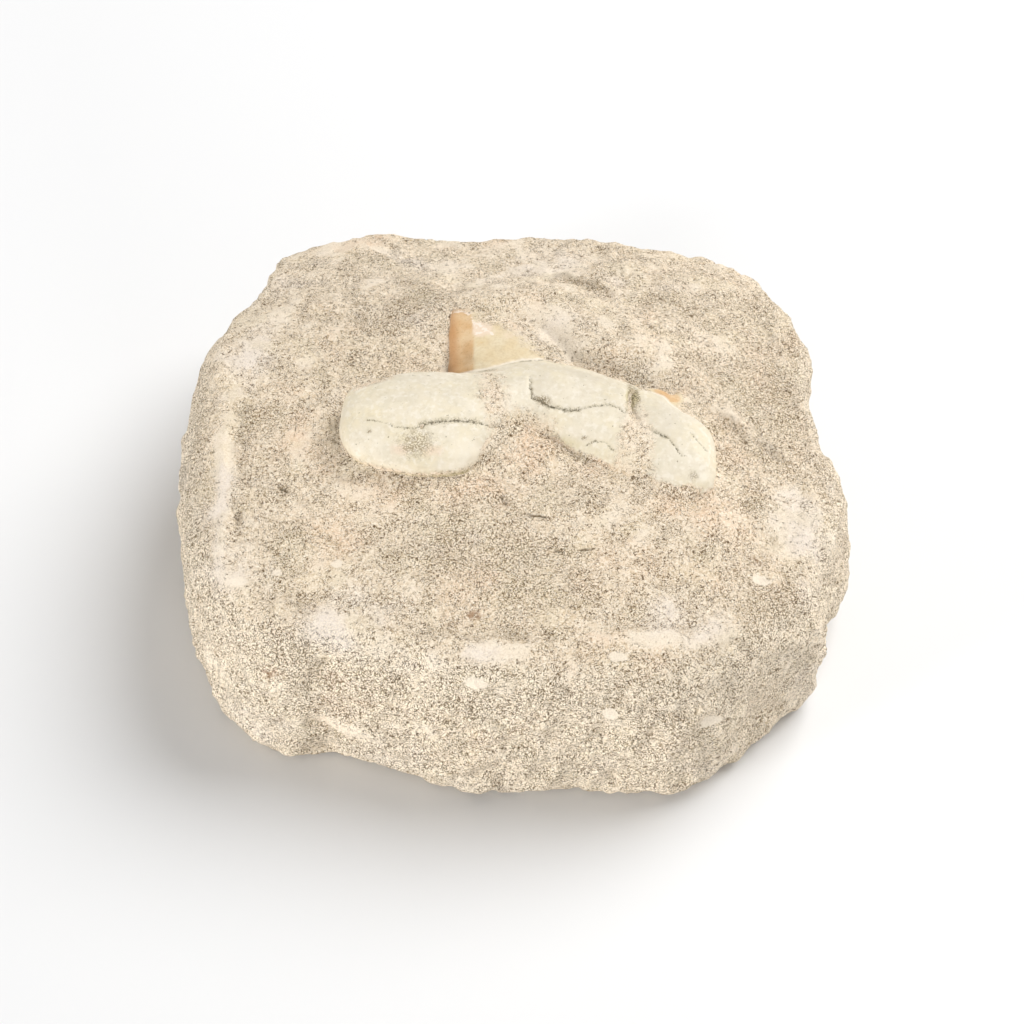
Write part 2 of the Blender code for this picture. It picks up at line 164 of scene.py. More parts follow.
# A marking with soft edges: its middle, its two half widths, how far the first is turned from +X
# as seen from above in degrees, and its strength.
Spot = namedtuple("Spot", "x y z wide deep turn strength")
SAND_ON_TOOTH = [
    Spot(-2.6, -1.0, 30.6, 1.9, 4.8, 6, 0.9),
    Spot(1.6, -5.8, 28.3, 2.8, 3.0, 0, 1.6),
    Spot(13.9, -7.0, 28.8, 1.8, 4.4, 0, 1.45),
    Spot(12.5, -10.5, 27.0, 4.5, 1.6, -25, 0.7),
    Spot(-15.6, 0.9, 30.7, 1.9, 0.9, 10, 1.3),
    Spot(-17.7, -0.5, 30.2, 1.2, 0.9, 40, 0.9),
]
# Where no sand clings to the tooth, though the rock is near.
CLEAN_ON_TOOTH = [
    Spot(-7.2, 7.5, 28.0, 2.0, 6.8, 0, 1.6),
    Spot(17.7, 1.4, 27.6, 1.8, 1.6, -50, 1.8),
]
# Where the rock laps up over the tooth's steep lower edge.
SAND_LAPS = [
    Spot(1.0, -6.0, 28.0, 3.0, 2.5, 0, 1.5),
    Spot(8.0, -9.2, 26.6, 4.5, 1.8, -30, 1.2),
    Spot(14.0, -11.4, 26.2, 4.5, 1.5, -20, 1.2),
    Spot(19.0, -12.4, 26.0, 3.0, 1.2, 0, 1.0),
    Spot(-1.2, -8.4, 27.5, 2.6, 2.4, 30, 1.4),
]
# Pale chips along the broken ridge, as sharp-edged spots seen from above.
CHIPS = [
    Spot(-6.5, 15.0, 0, 0.75, 0.28, -5, 1.0),
    Spot(-5.4, 14.4, 0, 0.5, 0.35, -30, 1.0),
    Spot(-4.8, 12.6, 0, 1.0, 0.20, -75, 1.0),
    Spot(-4.1, 12.0, 0, 0.9, 0.32, -60, 1.0),
    Spot(-3.4, 11.1, 0, 0.8, 0.28, -50, 1.0),
    Spot(-2.7, 10.4, 0, 0.6, 0.25, -40, 1.0),
    Spot(-4.2, 10.5, 0, 0.6, 0.25, 10, 1.0),
]
# Where the tooth is pinkish (more than 0) or yellowish olive (less than 0).
BLUSH_ON_TOOTH = [
    Spot(-3.9, 11.3, 28.3, 1.3, 1.5, 0, 1.7),
    Spot(-0.6, 9.9, 28.5, 1.2, 1.0, 0, 0.6),
    Spot(-3.9, 8.8, 28.5, 1.2, 0.9, 0, -0.7),
    Spot(1.6, 7.2, 28.8, 1.2, 0.8, 0, -0.4),
    Spot(-13.0, -8.9, 29.7, 1.3, 0.8, 0, 0.8),
    Spot(-9.2, -9.0, 29.6, 1.4, 0.8, 0, 0.8),
    Spot(-3.6, -8.8, 29.0, 1.8, 1.5, 0, 0.5),
    Spot(-17.8, -8.4, 26.4, 1.8, 0.9, -50, -1.2),
    Spot(-13.0, -10.3, 26.3, 4.5, 0.85, -3, -1.4),
    Spot(-6.0, -10.2, 26.7, 3.5, 0.85, 6, -1.4),
    Spot(6.3, -6.0, 27.6, 1.6, 0.9, -35, -0.6),
    Spot(9.5, -7.6, 27.6, 2.6, 0.9, -25, -0.4),
    Spot(13.5, -0.6, 28.8, 0.7, 1.5, 0, -1.6),
    Spot(-15.5, -2.0, 30.6, 2.2, 1.6, 0, -0.4),
]
# Where the line between rock and tooth gets painted contact shade, tinted olive.
CONTACT_LINE = [
    Spot(-12.0, -9.6, 27.2, 7.0, 2.5, -2, 1.0),
    Spot(13.8, 1.0, 28.5, 1.2, 2.0, 0, 1.0),
    Spot(-4.5, 4.5, 28.6, 2.0, 0.8, 0, 0.8),
    Spot(22.5, -3.0, 26.0, 2.0, 4.0, 30, 0.5),
]
ORANGE_ON_CUSP = [Spot(17.7, 1.3, 27.6, 1.7, 1.5, -50, 1.0)]
CUSP_STRETCH = Spot(17.1, 1.8, 27.5, 1.4, 1.4, 0, 0.6)  # the cusp is drawn away from the root here
HOLLOW = Spot(-11.1, -8.2, 29.9, 2.5, 1.9, 0, 1.0)
# Where grime is caught: in the speckled hollow, the notch, beside the cracks and in small pits.
BROWN_ON_TOOTH = [
    HOLLOW,
    Spot(8.0, -6.0, 28.4, 0.5, 0.3, 10, 1.2),
    Spot(7.5, -7.1, 27.0, 0.5, 0.4, 40, 1.2),
    Spot(-16.4, -6.8, 30.4, 0.4, 0.25, 20, 1.2),
    Spot(13.8, 0.2, 28.9, 0.50, 1.6, 10, 3.5),
    Spot(13.5, -2.4, 29.2, 0.35, 1.5, 0, 1.8),
    Spot(-3.4, 3.4, 29.7, 1.4, 0.45, 0, 1.6),
    Spot(3.2, -1.7, 30.1, 1.1, 0.6, -10, 1.5),
    Spot(2.0, -0.4, 30.3, 0.3, 0.8, 0, 0.8),
    Spot(-1.4, -4.4, 29.6, 1.0, 0.5, 0, 1.2),
    Spot(20.3, -10.7, 27.3, 0.7, 0.7, 0, 0.9),
    Spot(21.0, -6.4, 28.0, 0.3, 0.2, 0, 1.2),
]
# Where the root is paler: worn in places, and painted light on the left lobe's lower band.
PALE_ON_TOOTH = [
    Spot(21.5, -10.6, 26.9, 0.8, 0.6, 40, 1.0),
    Spot(18.5, -8.8, 28.3, 1.2, 1.6, 0, 0.4),
    Spot(-5.6, -8.4, 29.0, 2.8, 1.8, 0, 1.0),
    Spot(-15.5, -8.0, 29.6, 2.0, 1.4, 0, 0.5),
    # Painted light: lifts the left lobe's lower band, which faces front and down and falls in shade.
    Spot(-10.5, -9.9, 27.9, 7.0, 0.8, 0, 0.5),
    Spot(-14.0, -2.5, 31.0, 4.0, 2.0, 0, 0.3),
    Spot(5.0, -5.2, 29.0, 2.5, 1.5, -20, 0.5),
]
# Where dark dashes follow the root's rim.
SEAM_ON_TOOTH = [Spot(3.2, 5.8, 28.9, 3.2, 1.5, 0, 0.9), Spot(9.0, 4.6, 28.0, 4.0, 1.5, -15, 0.3)]
# Where the root is greyer.
GREY_ON_TOOTH = [
    Spot(7.0, 3.0, 29.6, 6.0, 1.1, -12, 0.6),
    Spot(3.0, 0.6, 30.4, 1.2, 3.0, -10, 0.5),
    Spot(-14.0, 0.5, 31.0, 5.0, 0.8, 0, 0.35),
    Spot(17.0, -5.0, 29.0, 4.5, 5.0, 0, 0.55),
    Spot(8.0, -1.0, 30.0, 6.0, 3.0, -10, 0.25),
]
STAINS_ON_TOOTH = {
    "brown": BROWN_ON_TOOTH, "blush": BLUSH_ON_TOOTH, "grey": GREY_ON_TOOTH, "pale": PALE_ON_TOOTH,
}

# ---------------------------------------------------------------- markings on the rock

# Where the rock is pale crust (more than 0) or dark and rough (less than 0).
LIGHT_AND_DARK = [
    Spot(0.0, -19.0, 25.0, 24.0, 8.0, 0, -0.2),
    Spot(-8.0, 28.0, 23.0, 22.0, 7.0, 0, 0.35),
    Spot(22.0, 14.0, 24.0, 9.0, 9.0, 0, -0.4),
    Spot(4.5, 10.5, 27.8, 5.0, 3.0, -35, 0.8),
    Spot(-17.0, -12.0, 25.5, 4.0, 2.0, 0, 0.7),
    Spot(-24.0, -4.0, 25.6, 2.0, 3.5, 0, 0.4),
    Spot(14.0, 9.0, 27.0, 7.0, 3.0, -15, 0.5),
    Spot(-12.2, 16.1, 26.7, 4.5, 3.0, 15, -0.9),
    Spot(-30.0, -3.0, 24.9, 2.5, 4.0, 0, -0.5),
    Spot(-26.3, -10.6, 24.9, 1.6, 1.4, 0, -0.9),
    Spot(-25.5, -29.8, 19.6, 3.2, 3.0, 0, -1.1),
    Spot(-20.1, -31.1, 13.9, 4.0, 3.0, 0, -1.0),
    Spot(-1.0, -20.6, 25.1, 4.5, 7.0, 20, -0.8),
    Spot(-9.4, -19.0, 24.9, 5.0, 5.0, 0, -0.45),
    Spot(2.5, -35.5, 17.7, 5.0, 2.2, 0, -0.5),
    Spot(29.6, -24.7, 20.4, 4.0, 3.0, 0, -1.1),
    Spot(27.1, -9.3, 23.5, 4.5, 2.2, -20, -0.6),
    Spot(30.7, 7.5, 22.5, 3.0, 8.0, -15, -0.7),
    Spot(10.5, 21.5, 25.2, 2.4, 3.0, 0, -0.7),
    Spot(-14.6, 27.8, 22.8, 5.0, 2.0, -10, -0.4),
    Spot(-37.2, -4.0, 20.5, 1.8, 16.0, 0, -0.8),
    Spot(-31.8, 8.9, 25.4, 2.2, 1.8, 0, 0.8),
    Spot(-30.7, 4.2, 25.2, 2.8, 2.0, 30, 0.8),
    Spot(-33.2, -8.0, 24.5, 0.9, 12.0, 0, 1.0),
    Spot(-31.2, -22.9, 22.6, 2.6, 1.6, 0, 0.8),
    Spot(-21.5, -28.7, 21.8, 3.6, 2.0, 0, 1.1),
    Spot(-15.4, -30.2, 21.1, 5.5, 2.0, -5, 0.9),
    Spot(-34.0, -25.1, 11.6, 2.0, 3.5, 0, 0.7),
    Spot(-19.0, -31.9, 8.6, 5.0, 1.3, -10, 1.2),
    Spot(-3.2, -32.1, 22.7, 5.5, 1.6, -8, 0.9),
    Spot(17.0, -30.5, 22.4, 6.0, 1.1, 3, 1.3),
    Spot(3.8, 24.8, 23.6, 3.5, 1.3, -25, 0.8),
    Spot(13.0, 25.0, 23.9, 1.6, 2.0, 0, 0.7),
    Spot(24.0, 12.3, 24.9, 2.6, 1.8, -30, 0.6),
    Spot(24.0, 0.6, 25.5, 2.5, 1.2, -35, 0.6),
    Spot(28.0, 3.5, 23.9, 6.0, 2.2, -45, -0.8),
    Spot(31.5, 6.0, 22.8, 1.4, 8.0, -10, -0.5),
    Spot(32.5, -13.5, 21.0, 3.0, 5.0, 10, 1.2),
    Spot(-28.2, 17.8, 24.2, 3.0, 2.2, 0, 0.7),
    Spot(32.4, 18.1, 20.8, 2.0, 2.5, 0, 0.6),
    Spot(6.8, -17.3, 26.3, 4.2, 2.3, 0, 0.8),
    Spot(-19.0, -20.0, 24.3, 6.0, 3.5, 10, 0.35),
]
# Where it is pinkish tan (more than 0) or lilac grey (less than 0).
WARM_AND_COOL = [
    Spot(-24.7, -2.4, 25.7, 4.0, 6.5, 0, 0.7),
    Spot(-12.9, -12.4, 26.2, 7.0, 2.2, 0, 0.9),
    Spot(-4.0, -12.0, 26.8, 4.0, 2.0, 10, 0.9),
    Spot(2.2, -7.5, 28.0, 3.0, 3.5, 0, 1.2),
    Spot(17.6, -14.8, 25.9, 4.2, 1.9, 15, 1.2),
    Spot(12.4, -21.3, 25.1, 5.0, 3.0, 0, 0.6),
    Spot(9.6, -25.0, 24.0, 4.0, 2.2, 0, 0.5),
    Spot(20.7, -23.2, 23.9, 4.0, 2.5, 0, 0.4),
    Spot(24.0, -15.0, 24.0, 4.0, 3.0, 0, 0.4),
    Spot(-21.0, -18.0, 24.6, 4.0, 2.0, 0, 0.4),
    Spot(-31.8, 8.9, 25.4, 3.0, 5.0, 0, -0.8),
    Spot(-33.2, -12.0, 24.5, 1.2, 10.0, 0, -0.8),
    Spot(-31.0, -21.0, 22.6, 5.0, 3.0, 0, -0.6),
    Spot(-21.5, -28.7, 21.8, 4.5, 3.0, 0, -0.9),
    Spot(-9.4, -18.0, 24.9, 5.0, 4.0, 0, -0.5),
    Spot(-6.0, -33.0, 20.9, 6.0, 3.0, 0, -0.5),
    Spot(17.0, -29.0, 23.0, 7.0, 2.5, 0, -0.5),
    Spot(32.5, -12.5, 21.0, 3.5, 6.0, 10, -1.0),
    Spot(13.0, 24.0, 24.0, 12.0, 4.0, -10, -0.4),
    Spot(-18.0, 27.0, 23.0, 10.0, 4.0, 0, -0.3),
]
# Rusty stains, white flecks of shell, and slits in the crust.
RUST = [
    Spot(-4.6, -27.9, 23.4, 1.1, 0.9, 0, 1.0),
    Spot(-27.2, -30.4, 16.3, 1.8, 1.2, 0, 0.8),
    Spot(-20.0, -30.8, 15.5, 3.0, 1.5, 0, 0.55),
    Spot(13.9, -34.5, 20.4, 1.8, 1.2, 0, 0.5),
    Spot(27.2, -18.8, 21.9, 2.6, 1.5, 0, 0.45),
    Spot(-1.3, -14.4, 26.6, 1.0, 0.8, 20, 0.7),
]
FLECKS = [
    Spot(-4.6, -34.7, 19.9, 2.1, 1.0, 6, 1.0),
    Spot(10.6, -35.7, 15.9, 1.1, 0.9, 0, 0.7),
    Spot(11.3, -32.6, 22.2, 1.4, 0.7, 0, 0.8),
    Spot(21.9, -34.7, 13.0, 1.9, 0.9, 0, 0.8),
    Spot(27.7, -21.3, 21.5, 1.6, 0.8, 0, 0.9),
    Spot(-30.9, -22.6, 22.8, 1.5, 0.7, 0, 0.8),
    Spot(-26.5, -21.6, 23.3, 0.7, 0.5, 0, 0.6),
    Spot(-19.8, -21.0, 24.0, 1.1, 0.6, 0, 0.6),
]
STONE_CRACKS = [
    Crack([(1.1, -15.4), (2.4, -16.0), (3.6, -16.2)], 0.14, 0.3),
    Crack([(4.4, -19.7), (5.3, -20.1)], 0.14, 0.3),
    Crack([(7.3, -20.0), (8.2, -19.8), (9.1, -19.7)], 0.15, 0.3),
    Crack([(10.6, -17.6), (11.3, -16.6)], 0.12, 0.25),
    Crack([(-1.6, -13.2), (-0.9, -14.0)], 0.16, 0.3),
    Crack([(-26.3, 4.1), (-26.0, 1.4), (-25.3, -0.8), (-25.3, -2.9)], 0.09, 0.15),
    Crack([(-26.9, -10.3), (-26.0, -10.9)], 0.35, 0.5),
    Crack([(-31.8, -13.8), (-31.4, -14.3)], 0.25, 0.4),
]
# A raised line on the rock's top, and swellings or pits anywhere on it.
Ridge = namedtuple("Ridge", "points half_width height")
RIDGES = [
    Ridge([(22.0, 1.6), (23.1, 1.1), (25.1, -0.4), (28.0, -2.2), (30.4, -3.4), (32.8, -4.5)], 0.6, 0.55),
    Ridge([(31.0, 16.6), (32.4, 12.4), (33.6, 5.8), (34.9, 0.1), (35.9, -4.3)], 0.6, 0.50),
    Ridge([(0.8, 27.2), (4.4, 24.8), (8.0, 21.5), (11.6, 19.8), (15.2, 18.6)], 0.7, 0.65),
    Ridge([(-19.1, 31.1), (-17.4, 29.6), (-15.9, 27.7)], 0.7, 0.55),
    Ridge([(-34.7, 11.2), (-33.8, 0.0), (-33.4, -12.0), (-32.3, -24.0)], 0.8, 0.45),
    Ridge([(-27.1, -26.3), (-15.0, -29.5), (0.0, -31.5), (15.0, -30.5), (27.5, -28.1)], 1.0, 0.25),
    Ridge([(-30.0, 16.5), (-25.5, 18.5), (-21.0, 17.6)], 0.8, 0.35),
]
CREST_PALENESS = 0.7  # how much paler a ridge's crest is, for each millimetre of its height
BULGES = [
    Spot(-18.0, -32.6, 8.6, 5.0, 1.3, -15, 0.7),
    Spot(15.3, -36.3, 12.8, 0.6, 0.6, 0, -0.7),
    Spot(11.2, -36.3, 3.8, 0.6, 0.6, 0, -0.7),
    Spot(30.0, -22.0, 14.0, 4.0, 4.0, 0, 0.5),
    Spot(-36.5, -10.0, 12.0, 2.0, 4.0, 0, 0.5),
    Spot(-14.5, 4.5, 25.0, 2.1, 1.0, 0, 1.1),  # fills the pocket of the cusp that the rock hides
]
WALL_TOP = 20.0  # cracks and ridges seen from above are kept to ground higher than this
WALL_LEAN = (0.90, 0.50)  # ground is a wall where its normal points up by less than this

# The rock's relief: how far each form stands out or is cut in.
SWELLS = 0.30
ROUGHNESS, CRUST_CALM = 0.24, 0.14  # the roughness of plain ground, and how much less a crust has
CRUST_RISE = 0.22
PITS = 0.35
WALL_LUMPS, WALL_CHIPS = 0.35, 0.9
CHIP_LEVEL = 0.25  # how far the middle of a chipped face stands over the wall, before scaling


# ---------------------------------------------------------------- mesh tools


def points_of(mesh):
    """A mesh's vertices in millimetres."""
    flat = np.empty(len(mesh.vertices) * 3)
    mesh.vertices.foreach_get("co", flat)
    return flat.reshape(-1, 3) / MM


def normals_of(mesh):
    """The directions that a mesh's vertices face."""
    flat = np.empty(len(mesh.vertices) * 3)
    mesh.vertex_normals.foreach_get("vector", flat)
    return flat.reshape(-1, 3)


def set_points(mesh, points):
    mesh.vertices.foreach_set("co", (points * MM).ravel())
    mesh.update()


def copy_of(thing, name):
    made = bpy.data.objects.new(name, thing.data.copy())
    bpy.context.scene.collection.objects.link(made)
    made.data.materials.clear()
    return made


def apply_modifiers(thing):
    graph = bpy.context.evaluated_depsgraph_get()
    made = bpy.data.meshes.new_from_object(thing.evaluated_get(graph))
    thing.modifiers.clear()
    old, thing.data = thing.data, made
    bpy.data.meshes.remove(old)


def grow(thing, distance):
    """Moves a piece's whole skin outwards."""
    points, normals = points_of(thing.data), normals_of(thing.data)
    set_points(thing.data, points + normals * distance)


def remeshed(thing, voxel, smoothing):
    """Gives a piece an even fine skin, and smooths its flat facets away."""
    remesh = thing.modifiers.new("fine skin", "REMESH")
    remesh.mode = "VOXEL"
    remesh.voxel_size = voxel * MM
    smooth = thing.modifiers.new("no facets", "SMOOTH")
    smooth.factor = 0.5  # each round takes a vertex halfway to its neighbours' middle
    smooth.iterations = smoothing
    apply_modifiers(thing)


def add_mesh_of(thing, other):
    mesh = bmesh.new()
    mesh.from_mesh(thing.data)
    mesh.from_mesh(other.data)
    mesh.to_mesh(thing.data)
    mesh.free()


def tree_of(thing):
    """A search tree over a piece's faces, in millimetres."""
    mesh = thing.data
    mesh.calc_loop_triangles()
    corners = [tuple(t.vertices) for t in mesh.loop_triangles]
    return BVHTree.FromPolygons([tuple(p) for p in points_of(mesh)], corners)


def heights_over(tree, points, reach):
    """How far each point is outside a skin (less than 0 is inside), with its nearest spot on it."""
    heights = np.full(len(points), reach)
    spots, outwards = points.copy(), np.zeros_like(points)
    for index, point in enumerate(points):
        spot, normal, _, gap = tree.find_nearest(Vector(point), reach)
        if spot is not None:
            side = (Vector(point) - spot).dot(normal)
            heights[index] = math.copysign(gap, side)
            spots[index], outwards[index] = spot, normal
    return heights, spots, outwards


def distance_to(cloud, points):
    """How far each point is from the nearest one of a cloud of points."""
    tree = KDTree(len(cloud))
    for index, place in enumerate(cloud):
        tree.insert(Vector(place), index)
    tree.balance()
    return np.array([tree.find(Vector(point))[2] for point in points])


# ---------------------------------------------------------------- fields over a surface


SEED_STEP = np.array((17.3, -9.1, 5.7))  # each seed reads the noise this much farther on
NOISE_FALLOFF, NOISE_FINENESS = 0.9, 2.0  # how each octave of noise is lower and finer


def fractal(points, length, octaves, seed, squash=(1, 1, 1)):
    """Noise of about -1 to 1 at each point: its longest wave is length millimetres."""
    places = points * np.array(squash) / length + SEED_STEP * seed
    return np.array([noise.fractal(p, NOISE_FALLOFF, NOISE_FINENESS, octaves) for p in places])


def smooth_step(low, high, value):
    t = np.clip((value - low) / (high - low), 0, 1)
    return t * t * (3 - 2 * t)


def wandered(points, size, length, seed):
    """The points moved sideways by noise, so that a line drawn through them is uneven."""
    moved = points.copy()
    moved[:, 0] += size * fractal(points, length, 2, seed)
    moved[:, 1] += size * fractal(points, length, 2, seed + 1)
    return moved


def signed_gap(points, knots):
    """How far each point is from a bent line as seen from above: more than 0 on its left."""
    gap, side = line_gap(points, knots)
    return gap * side


def line_gap(points, knots):
    """How far each point is from a bent line as seen from above, and its side: 1 is left."""
    nearest = np.full(len(points), 1e9)
    side = np.zeros(len(points))
    knots = np.array(knots, dtype=float)
    for start, end in zip(knots[:-1], knots[1:]):
        along = end - start
        share = np.clip(((points[:, :2] - start) @ along) / (along @ along), 0, 1)
        gap = points[:, :2] - (start + share[:, None] * along)
        size = np.hypot(gap[:, 0], gap[:, 1])
        turn = along[0] * (points[:, 1] - start[1]) - along[1] * (points[:, 0] - start[0])
        closer = size < nearest
        nearest = np.where(closer, size, nearest)
        side = np.where(closer, np.sign(turn), side)
    return nearest, side


def inside_box(points, box):
    """Which points are in a box as seen from above."""
    low, high = np.array(box[0]), np.array(box[1])
    return ((points[:, :2] > low) & (points[:, :2] < high)).all(axis=1)


def spot_distance(points, spot):
    """Distance from a spot's middle, as a share of its half widths."""
    turn = math.radians(spot.turn)
    east, north, up = (points - (spot.x, spot.y, spot.z)).T
    along = east * math.cos(turn) + north * math.sin(turn)
    across = north * math.cos(turn) - east * math.sin(turn)
    return np.sqrt((along / spot.wide) ** 2 + (across**2 + up**2) / spot.deep**2)


def soft_spots(points, spots):
    """All the spots' strengths added up, each fading out from its middle."""
    total = np.zeros(len(points))
    for spot in spots:
        total += spot.strength * np.exp(-spot_distance(points, spot) ** 2)
    return total


def sharp_spots(points, spots):
    """1 at the middle of a spot, 0 at its edge and less outside."""
    return np.max([1 - spot_distance(points, spot) for spot in spots], axis=0).clip(-1.5, 1)


def tone_at(points):
    """From -1 on rough dark ground to 1 on pale crust."""
    drift = 0.45 * fractal(points, 7.0, 2, 41) + 0.55 * fractal(points, 2.8, 2, 42)
    return soft_spots(points, LIGHT_AND_DARK) + drift


def warmth_at(points):
    """From -1 on lilac grey ground to 1 on pinkish tan."""
    return soft_spots(points, WARM_AND_COOL) + 0.7 * fractal(points, 9.0, 2, 43)


def cracks_at(points, cracks, seed):
    """How far each point is from a crack, in half widths, and how deep the surface is cut there."""
    wandering = wandered(points, CRACK_WANDER, CRACK_WANDER_LENGTH, seed)
    nearness, depth = np.full(len(points), NO_CRACK), np.zeros(len(points))
    uneven = 1 + CRACK_UNEVENNESS * fractal(points, 1.7, 2, seed + 2)
    for crack in cracks:
        gap = line_gap(wandering, crack.points)[0] / (crack.half_width * uneven)
        nearness = np.minimum(nearness, gap)
        depth = np.maximum(depth, crack.depth * np.exp(-((gap / 1.4) ** 2)))
    return nearness, depth


def ridges_at(points, ridges):
    """How far the surface is raised along the ridges, which wander and are broken up."""
    wandering = wandered(points, *RIDGE_WANDER)
    uneven = np.clip(0.9 + 1.3 * fractal(points, 2.5, 2, 53), 0.1, 1.8)
    raised = np.zeros(len(points))
    for ridge in ridges:
        gap = line_gap(wandering, ridge.points)[0] / ridge.half_width
        raised = np.maximum(raised, ridge.height * np.exp(-(gap**2)))
    return raised * uneven


def add_field(mesh, name, values):
    field = mesh.attributes.new(name, "FLOAT", "POINT")
    field.data.foreach_set("value", np.asarray(values, dtype=np.float32))


# ---------------------------------------------------------------- shader tools


# The Mix node's factor, its two inputs and its output, for colours and for numbers.
MIX_SOCKETS = {"RGBA": (0, 6, 7, 2), "FLOAT": (0, 2, 3, 0)}


class Nodes:
    """Short names for building one material's node tree."""

    def __init__(self, name):
        self.material = bpy.data.materials.new(name)
        self.material.use_nodes = True
        self.tree = self.material.node_tree
        self.shader = self.tree.nodes["Principled BSDF"]
        place = self.tree.nodes.new("ShaderNodeTexCoord")
        self.place = self.vector("SCALE", place.outputs["Object"], factor=1 / MM)

    def add(self, kind, **settings):
        node = self.tree.nodes.new(kind)
        for key, value in settings.items():
            setattr(node, key, value)
        return node

    def put(self, socket, value):
        if isinstance(value, bpy.types.NodeSocket):
            self.tree.links.new(value, socket)
        else:
            socket.default_value = value

    def vector(self, operation, a, b=None, factor=None):
        node = self.add("ShaderNodeVectorMath", operation=operation)
        self.put(node.inputs[0], a)
        if b is not None:
            self.put(node.inputs[1], b)
        if factor is not None:
            node.inputs["Scale"].default_value = factor
        return node.outputs[0]

    def math(self, operation, a, b=0.0):
        node = self.add("ShaderNodeMath", operation=operation)
        self.put(node.inputs[0], a)
        self.put(node.inputs[1], b)
        return node.outputs[0]

    def plus(self, a, b):
        return self.math("ADD", a, b)

    def minus(self, a, b):
        return self.math("SUBTRACT", a, b)

    def times(self, a, b):
        return self.math("MULTIPLY", a, b)

    def size_of(self, value):
        return self.math("ABSOLUTE", value)

    def ramp(self, value, low, high, start=0.0, end=1.0):
        """value mapped smoothly from low..high to start..end."""
        node = self.add("ShaderNodeMapRange", interpolation_type="SMOOTHSTEP")
        self.put(node.inputs["Value"], value)
        node.inputs["From Min"].default_value = low
        node.inputs["From Max"].default_value = high
        node.inputs["To Min"].default_value = start
        node.inputs["To Max"].default_value = end
        return node.outputs["Result"]

    def noise(self, length, detail=2.0, roughness=0.5, shift=0.0):
        """Noise of about 0 to 1 whose waves are length millimetres long."""
        node = self.add("ShaderNodeTexNoise")
        place = self.vector("ADD", self.place, (shift, -shift, shift * 0.7))
        self.put(node.inputs["Vector"], place)
        node.inputs["Scale"].default_value = 1 / length
        node.inputs["Detail"].default_value = detail
        node.inputs["Roughness"].default_value = roughness
        return node.outputs["Fac"]

    def swing(self, size, length, detail=2.0, shift=0.0):
        """Noise that swings evenly to either side of 0."""
        centred = self.minus(self.noise(length, detail, 0.5, shift), 0.5)
        return self.times(centred, 2 * size)

    def grains(self, length):
        """A pattern of cells as wide as grains, with one random value from 0 to 1 for each."""
        node = self.add("ShaderNodeTexVoronoi", feature="F1")
        self.put(node.inputs["Vector"], self.place)
        node.inputs["Scale"].default_value = 1 / length
        split = self.add("ShaderNodeSeparateColor")
        self.put(split.inputs[0], node.outputs["Color"])
        return split.outputs[0]

    def mix(self, share, a, b, kind="RGBA"):
        """a with share of b mixed in, as colours (RGBA) or as numbers (FLOAT)."""
        node = self.add("ShaderNodeMix", data_type=kind)
        *inputs, output = MIX_SOCKETS[kind]
        for index, value in zip(inputs, (share, a, b)):
            self.put(node.inputs[index], value)
        return node.outputs[output]

    def field(self, name):
        return self.add("ShaderNodeAttribute", attribute_name=name).outputs["Fac"]

    def bump(self, height, distance, below=None):
        """A bump of distance millimetres, on top of another bump's normal."""
        node = self.add("ShaderNodeBump")
        self.put(node.inputs["Height"], height)
        node.inputs["Distance"].default_value = distance * MM
        if below is not None:
            self.put(node.inputs["Normal"], below)
        return node.outputs[0]


def rgb(red, green, blue):
    """A colour given as 0 to 255 values on a screen."""

    def linear(value):
        value /= 255
        return value / 12.92 if value <= 0.04045 else ((value + 0.055) / 1.055) ** 2.4

    return (linear(red), linear(green), linear(blue), 1.0)


# ---------------------------------------------------------------- materials

GRAIN = 0.13  # the width of the finest sand grains
SWIRL = 0.27  # how far apart the hollows between clumps of grains wind
GRAIN_BUMP, COARSE_BUMP, TOOTH_BUMP = 0.10, 0.25, 0.08
SAND_ROUGHNESS, ROOT_ROUGHNESS, ENAMEL_ROUGHNESS = 0.95, 0.50, 0.34
SAND_SPECULAR, TOOTH_SPECULAR = 0.15, 0.35

# Sand.
SAND_ROUGH, SAND_PLAIN = rgb(207, 186, 155), rgb(223, 204, 177)
# Painted light: the paler ground of the steep walls.
SAND_WALL_LIT, SAND_CRUST = rgb(238, 221, 190), rgb(232, 217, 195)
SAND_TAN, SAND_LILAC = rgb(229, 196, 163), rgb(226, 215, 206)
SAND_OCHRE = rgb(212, 196, 160)
GRAIN_PALE, GRAIN_BROWN = rgb(247, 236, 219), rgb(186, 160, 122)
# A painted highlight for the glints on clumps of grains, and the painted shade of the hollows between
# them.
GLINT, HOLLOW_SHADE_BROWN = rgb(246, 233, 213), rgb(94, 71, 42)
# Other marks on the rock: rust, shell, and the painted shade of the slits and of the line along the
# tooth.
RUST_BROWN, SHELL_WHITE = rgb(150, 112, 78), rgb(234, 221, 202)
SLIT_SHADE_BROWN, CONTACT_SHADE_OLIVE = rgb(104, 88, 62), rgb(168, 152, 112)
# The root.
ROOT_CREAM, ROOT_YELLOW = rgb(221, 211, 191), rgb(221, 209, 181)
ROOT_DULL, ROOT_DARK = rgb(210, 201, 180), rgb(203, 191, 166)
ROOT_LIGHT, ROOT_GREY = rgb(231, 223, 208), rgb(197, 187, 168)
ROOT_PINK, ROOT_OLIVE = rgb(228, 204, 182), rgb(203, 190, 146)
ROOT_PALE, PORE_GREY = rgb(236, 227, 209), rgb(128, 116, 90)
# The enamel.
YELLOW_DARK, YELLOW_LIGHT = rgb(222, 202, 164), rgb(226, 211, 180)
YELLOW_FINE = rgb(208, 186, 148)
YELLOW_PINK, YELLOW_TAN = rgb(234, 212, 192), rgb(212, 180, 126)
ORANGE_DARK, ORANGE_LIGHT = rgb(211, 173, 127), rgb(220, 192, 153)
ORANGE_DEEP, ORANGE_SPECK = rgb(186, 134, 86), rgb(168, 128, 78)
CHIP_WHITE = rgb(244, 228, 213)
